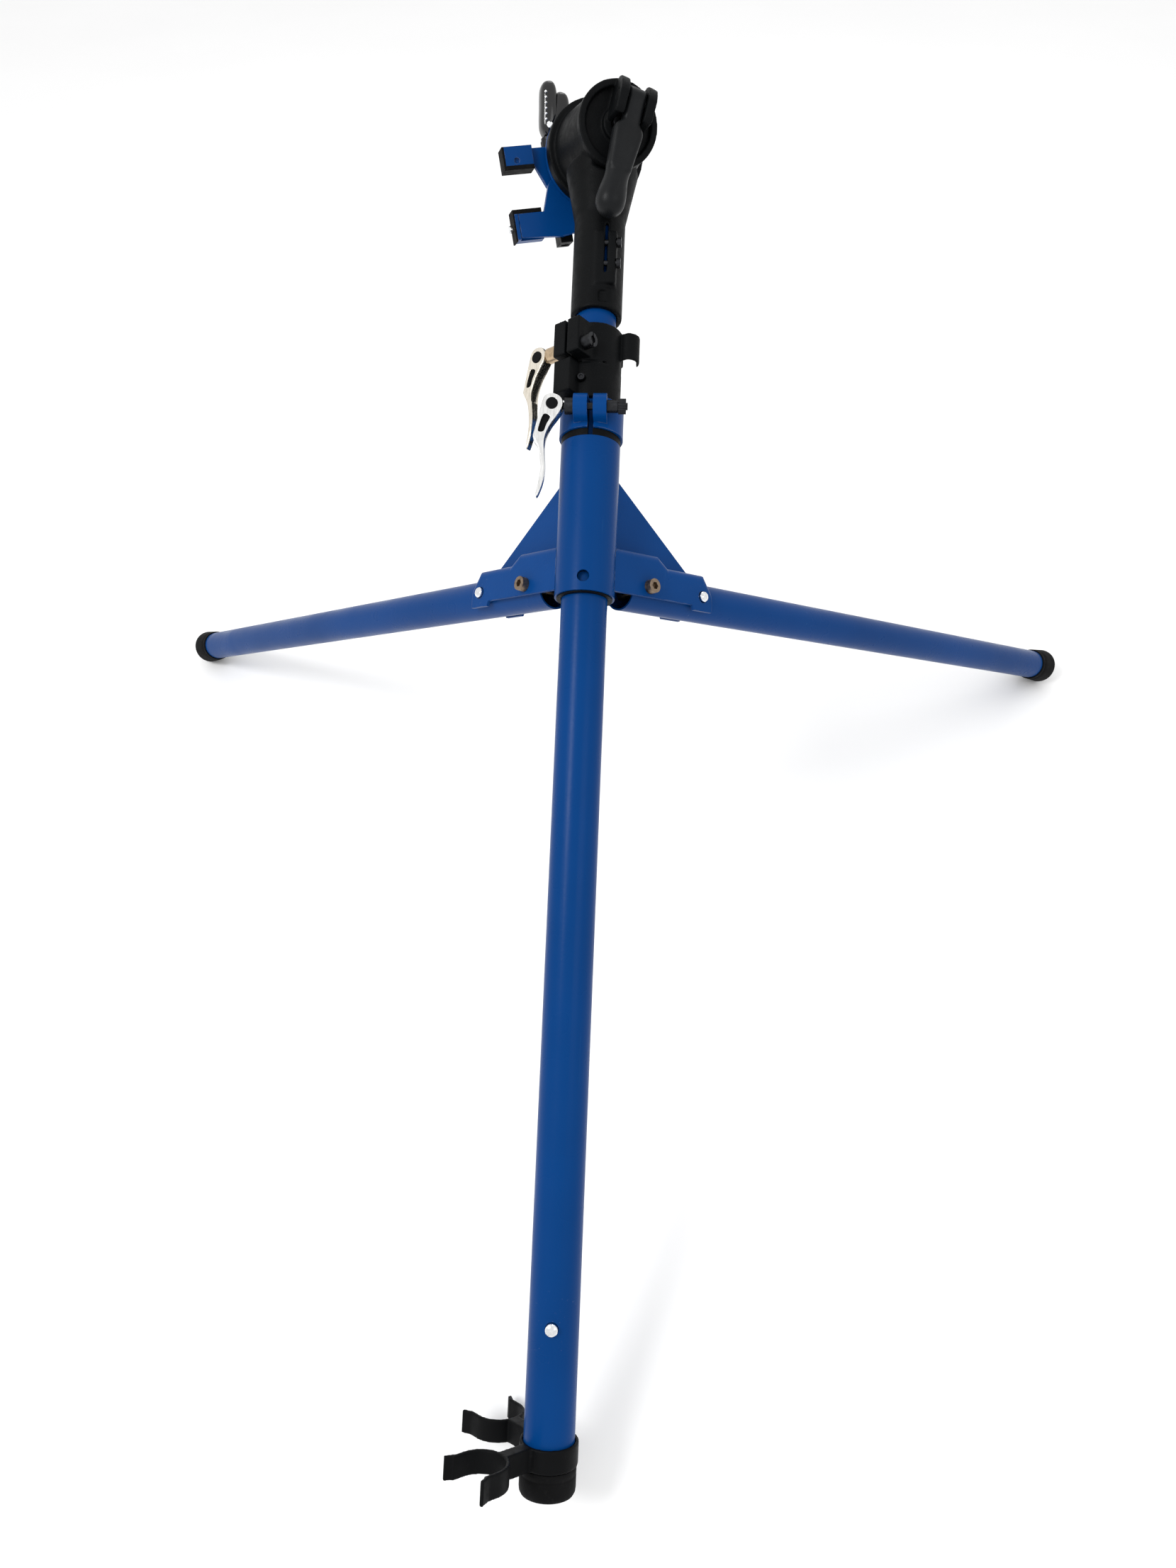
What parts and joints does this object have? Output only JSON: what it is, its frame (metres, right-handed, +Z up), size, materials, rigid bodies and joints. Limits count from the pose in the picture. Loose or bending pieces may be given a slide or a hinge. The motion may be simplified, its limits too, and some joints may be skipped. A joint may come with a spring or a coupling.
{
  "type": "bike repair stand",
  "caption": "Folding bicycle repair stand with a telescopic mast, a sliding hub with two folding legs, and a rotating clamp head with padded jaws.",
  "frame": {"origin": "centre of the footprint at floor level, under the stand as it stands in the picture", "axes": "+Z up, +Y from the foot under the leaning mast towards the legs, +X to the right seen from the foot's side"},
  "size_m": [1.1962, 1.0586, 0.7469],
  "materials": {
    "blue_paint": "satin",
    "black_casting": "satin",
    "black_rubber": "matte",
    "black_plastic": "matte",
    "gloss_black": "gloss",
    "silver_lever": "polished",
    "champagne_lever": "polished",
    "bronze_spacer": "satin",
    "chrome_steel": "polished",
    "spring_steel": "brushed",
    "oxidised_steel": "worn",
    "dark_steel": "satin"
  },
  "bodies": {
    "mast": {"main_tube": "blue_paint", "foot_cap": "black_rubber", "collar_casting": "black_casting", "collar_set_screw": "dark_steel", "collar_bushing": "black_plastic", "collar_qr_bolt": "dark_steel", "collar_qr_nut": "dark_steel", "collar_qr_spacer": "bronze_spacer", "collar_qr_barrel": "black_plastic"},
    "mast_button": {"mast_snap_button": "chrome_steel", "mast_button_spring": "spring_steel"},
    "leg_clip": {"foot_leg_clip": "black_plastic"},
    "collar_lever": {"collar_qr_lever": "champagne_lever"},
    "hub": {"hub_sleeve": "blue_paint", "hub_bushings": "black_plastic", "left_bracket": "blue_paint", "right_bracket": "blue_paint", "left_gusset": "blue_paint", "right_gusset": "blue_paint", "leg_pivot_bolts": "oxidised_steel", "leg_pivot_nuts": "dark_steel", "hub_clamp_ring": "blue_paint", "hub_qr_bolt": "dark_steel", "hub_qr_spacers": "dark_steel", "hub_qr_barrel": "black_plastic"},
    "hub_lever": {"hub_qr_lever": "silver_lever"},
    "hub_nut": {"hub_qr_nut": "dark_steel"},
    "left_leg": {"left_leg_tube": "blue_paint", "left_leg_cap": "black_rubber"},
    "right_leg": {"right_leg_tube": "blue_paint", "right_leg_cap": "black_rubber"},
    "left_button": {"left_snap_button": "chrome_steel", "left_button_spring": "spring_steel"},
    "right_button": {"right_snap_button": "chrome_steel", "right_button_spring": "spring_steel"},
    "upper_mast": {"upper_tube": "blue_paint", "upper_tube_glide": "black_plastic", "head_casting": "black_casting", "head_shaft_bushes": "black_plastic", "head_pinch_bolts": "dark_steel"},
    "clamp": {"clamp_shaft": "dark_steel", "rear_fork_disc": "black_casting", "fork_pin": "dark_steel", "clamp_flange": "blue_paint", "lower_jaw_plate": "blue_paint", "lower_jaw_box": "blue_paint", "lower_jaw_pad": "black_rubber", "lower_pad_screw": "chrome_steel", "jaw_pivot_bolt": "dark_steel", "draw_rod": "dark_steel", "rod_end_block": "black_casting", "handle_pin": "chrome_steel"},
    "cam_lever": {"head_cam_lever": "black_plastic"},
    "upper_jaw": {"upper_jaw_plate": "blue_paint", "upper_jaw_box": "blue_paint", "upper_jaw_pad": "black_rubber"},
    "clamp_handle": {"clamp_cam_handle": "gloss_black"},
    "jaw_nut": {"jaw_adjusting_nut": "dark_steel"}
  },
  "joints": [
    {"name": "mast_button_press", "type": "slide", "parent": "mast", "child": "mast_button", "axis": [0, 0.5546, -0.8321], "range_m": [0, 0.0046], "stiffness_N_per_m": 400, "springref_m": -0.008},
    {"name": "leg_clip_turn", "type": "hinge", "parent": "mast", "child": "leg_clip", "pos_m": [0, -0.48076, 0.06693], "axis": [0, 0.8321, 0.5546], "range_deg": [-90, 0]},
    {"name": "collar_lever_open", "type": "hinge", "parent": "mast", "child": "collar_lever", "pos_m": [-0.04727, 0.26385, 0.56891], "axis": [0.5736, 0.4543, -0.6816], "range_deg": [0, 130]},
    {"name": "hub_slide", "type": "slide", "parent": "mast", "child": "hub", "axis": [0, 0.8321, 0.5546], "range_m": [-0.5986, 0]},
    {"name": "hub_lever_open", "type": "hinge", "parent": "hub", "child": "hub_lever", "pos_m": [-0.0316, 0.19939, 0.56051], "axis": [0, 0.5546, -0.8321], "range_deg": [0, 135]},
    {"name": "hub_nut_turn", "type": "hinge", "parent": "hub", "child": "hub_nut", "pos_m": [0.025, 0.19939, 0.56051], "axis": [1, 0, 0], "continuous": true},
    {"name": "left_leg_fold", "type": "hinge", "parent": "hub", "child": "left_leg", "pos_m": [-0.04005, 0.12431, 0.42208], "axis": [-0.7071, -0.3922, 0.5884], "range_deg": [0, 95.71]},
    {"name": "left_button_press", "type": "slide", "parent": "left_leg", "child": "left_button", "axis": [0.7071, 0.3922, -0.5884], "range_m": [0, 0.0046], "stiffness_N_per_m": 400, "springref_m": -0.008},
    {"name": "right_leg_fold", "type": "hinge", "parent": "hub", "child": "right_leg", "pos_m": [0.04005, 0.12431, 0.42208], "axis": [-0.7071, 0.3922, -0.5884], "range_deg": [0, 95.71]},
    {"name": "right_button_press", "type": "slide", "parent": "right_leg", "child": "right_button", "axis": [-0.7071, 0.3922, -0.5884], "range_m": [0, 0.0046], "stiffness_N_per_m": 400, "springref_m": -0.008},
    {"name": "mast_extend", "type": "slide", "parent": "mast", "child": "upper_mast", "axis": [0, 0.8321, 0.5546], "range_m": [0, 0.45]},
    {"name": "clamp_turn", "type": "hinge", "parent": "upper_mast", "child": "clamp", "pos_m": [0, 0.44671, 0.68509], "axis": [-0.3388, 0.7605, -0.554], "continuous": true},
    {"name": "cam_lever_open", "type": "hinge", "parent": "clamp", "child": "cam_lever", "pos_m": [0.03025, 0.41042, 0.72869], "axis": [-0.9104, -0.1164, 0.3971], "range_deg": [0, 95]},
    {"name": "upper_jaw_close", "type": "hinge", "parent": "clamp", "child": "upper_jaw", "pos_m": [-0.01909, 0.46681, 0.64312], "axis": [0.3388, -0.7605, 0.554], "range_deg": [0, 10]},
    {"name": "clamp_handle_open", "type": "hinge", "parent": "clamp", "child": "clamp_handle", "pos_m": [-0.05637, 0.49478, 0.68266], "axis": [0.3388, -0.7605, 0.554], "range_deg": [0, 85]},
    {"name": "jaw_nut_turn", "type": "hinge", "parent": "clamp", "child": "jaw_nut", "pos_m": [-0.05383, 0.48683, 0.6702], "axis": [-0.1695, 0.5298, 0.831], "continuous": true}
  ]
}
